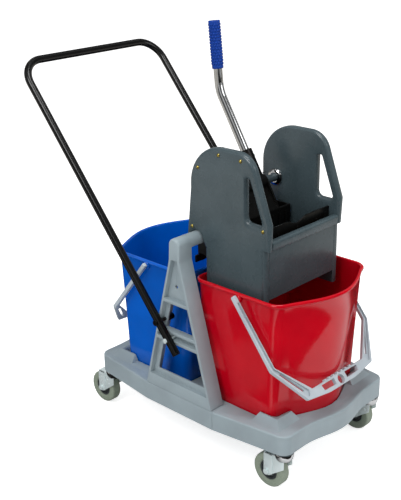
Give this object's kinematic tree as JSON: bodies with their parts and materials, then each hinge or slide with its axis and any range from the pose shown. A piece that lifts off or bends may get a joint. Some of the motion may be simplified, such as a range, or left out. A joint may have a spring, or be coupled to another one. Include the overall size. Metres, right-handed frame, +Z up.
{
  "type": "double mop bucket trolley",
  "caption": "Rolling double mop bucket trolley with a red and a blue lift-out bucket, a lever press wringer over the red one and a bent tube push handle.",
  "frame": {"origin": "on the floor, under the middle of the tray, midway between the two uprights", "axes": "+X along the trolley towards the red bucket and wringer, +Y across it to the far upright, +Z up"},
  "size_m": [0.7989, 0.448, 0.937],
  "materials": {
    "grey_plastic": "satin",
    "light_grey_plastic": "satin",
    "slate_plastic": "satin",
    "red_plastic": "gloss",
    "blue_plastic": "gloss",
    "black_paint": "satin",
    "black_plastic": "satin",
    "chrome": "polished",
    "zinc": "satin",
    "dark_steel": "satin",
    "dark_plastic": "satin",
    "grey_rubber": "matte",
    "brass": "satin",
    "blue_rubber": "matte"
  },
  "bodies": {
    "chassis": {"front_tray": "grey_plastic", "rear_tray": "grey_plastic", "tray_bolts": "zinc", "near_upright": "grey_plastic", "far_upright": "grey_plastic", "upright_screws": "zinc", "push_handle": "black_paint", "handle_plugs": "black_plastic", "handle_studs": "black_plastic", "handle_bolts": "zinc", "near_front_mount": "dark_steel", "near_rear_mount": "dark_steel", "far_front_mount": "dark_steel", "far_rear_mount": "dark_steel"},
    "near_front_swivel": {"near_front_yoke": "zinc", "near_front_axle": "zinc"},
    "near_front_wheel": {"near_front_hub": "dark_plastic", "near_front_tyre": "grey_rubber"},
    "near_rear_swivel": {"near_rear_yoke": "zinc", "near_rear_axle": "zinc"},
    "near_rear_wheel": {"near_rear_hub": "dark_plastic", "near_rear_tyre": "grey_rubber"},
    "far_front_swivel": {"far_front_yoke": "zinc", "far_front_axle": "zinc"},
    "far_front_wheel": {"far_front_hub": "dark_plastic", "far_front_tyre": "grey_rubber"},
    "far_rear_swivel": {"far_rear_yoke": "zinc", "far_rear_axle": "zinc"},
    "far_rear_wheel": {"far_rear_hub": "dark_plastic", "far_rear_tyre": "grey_rubber"},
    "red_bucket": {"red_bucket": "red_plastic"},
    "red_bail": {"red_bail": "light_grey_plastic"},
    "blue_bucket": {"blue_bucket": "blue_plastic"},
    "blue_bail": {"blue_bail": "light_grey_plastic"},
    "wringer": {"near_cheek": "slate_plastic", "far_cheek": "slate_plastic", "near_cover": "slate_plastic", "far_cover": "slate_plastic", "near_cover_screws": "brass", "far_cover_screws": "brass", "front_panel": "slate_plastic", "strainer": "black_plastic", "near_bush": "chrome", "far_bush": "chrome", "return_spring": "zinc"},
    "press": {"press_shaft": "dark_steel", "shaft_clips": "zinc", "press_plate": "black_plastic", "lever_tube": "chrome", "lever_grip": "blue_rubber", "lever_bolt": "zinc"}
  },
  "joints": [
    {"name": "near_front_swivel_turn", "type": "hinge", "parent": "chassis", "child": "near_front_swivel", "pos_m": [0.27, -0.157, 0.09], "axis": [0, 0, 1], "continuous": true},
    {"name": "near_front_wheel_spin", "type": "hinge", "parent": "near_front_swivel", "child": "near_front_wheel", "pos_m": [0.236, -0.157, 0.04], "axis": [0, 1, 0], "continuous": true},
    {"name": "near_rear_swivel_turn", "type": "hinge", "parent": "chassis", "child": "near_rear_swivel", "pos_m": [-0.27, -0.157, 0.09], "axis": [0, 0, 1], "continuous": true},
    {"name": "near_rear_wheel_spin", "type": "hinge", "parent": "near_rear_swivel", "child": "near_rear_wheel", "pos_m": [-0.304, -0.157, 0.04], "axis": [0, 1, 0], "continuous": true},
    {"name": "far_front_swivel_turn", "type": "hinge", "parent": "chassis", "child": "far_front_swivel", "pos_m": [0.27, 0.157, 0.09], "axis": [0, 0, 1], "continuous": true},
    {"name": "far_front_wheel_spin", "type": "hinge", "parent": "far_front_swivel", "child": "far_front_wheel", "pos_m": [0.236, 0.157, 0.04], "axis": [0, 1, 0], "continuous": true},
    {"name": "far_rear_swivel_turn", "type": "hinge", "parent": "chassis", "child": "far_rear_swivel", "pos_m": [-0.27, 0.157, 0.09], "axis": [0, 0, 1], "continuous": true},
    {"name": "far_rear_wheel_spin", "type": "hinge", "parent": "far_rear_swivel", "child": "far_rear_wheel", "pos_m": [-0.304, 0.157, 0.04], "axis": [0, 1, 0], "continuous": true},
    {"name": "red_bucket_lift", "type": "slide", "parent": "chassis", "child": "red_bucket", "axis": [0, 0, 1], "range_m": [0, 0.03]},
    {"name": "red_bail_swing", "type": "hinge", "parent": "red_bucket", "child": "red_bail", "pos_m": [0.139, 0, 0.409], "axis": [0, -1, 0], "range_deg": [0, 120]},
    {"name": "blue_bucket_lift", "type": "slide", "parent": "chassis", "child": "blue_bucket", "axis": [0, 0, 1], "range_m": [0, 0.03]},
    {"name": "blue_bail_swing", "type": "hinge", "parent": "blue_bucket", "child": "blue_bail", "pos_m": [-0.139, 0, 0.409], "axis": [0, 1, 0], "range_deg": [0, 120]},
    {"name": "wringer_lift", "type": "slide", "parent": "chassis", "child": "wringer", "axis": [0, 0, 1], "range_m": [0, 0.1]},
    {"name": "press_swing", "type": "hinge", "parent": "wringer", "child": "press", "pos_m": [0.025, -0.006, 0.5918], "axis": [0, -1, 0], "range_deg": [0, 35], "stiffness_Nm_per_rad": 1, "springref_deg": -34.38}
  ]
}
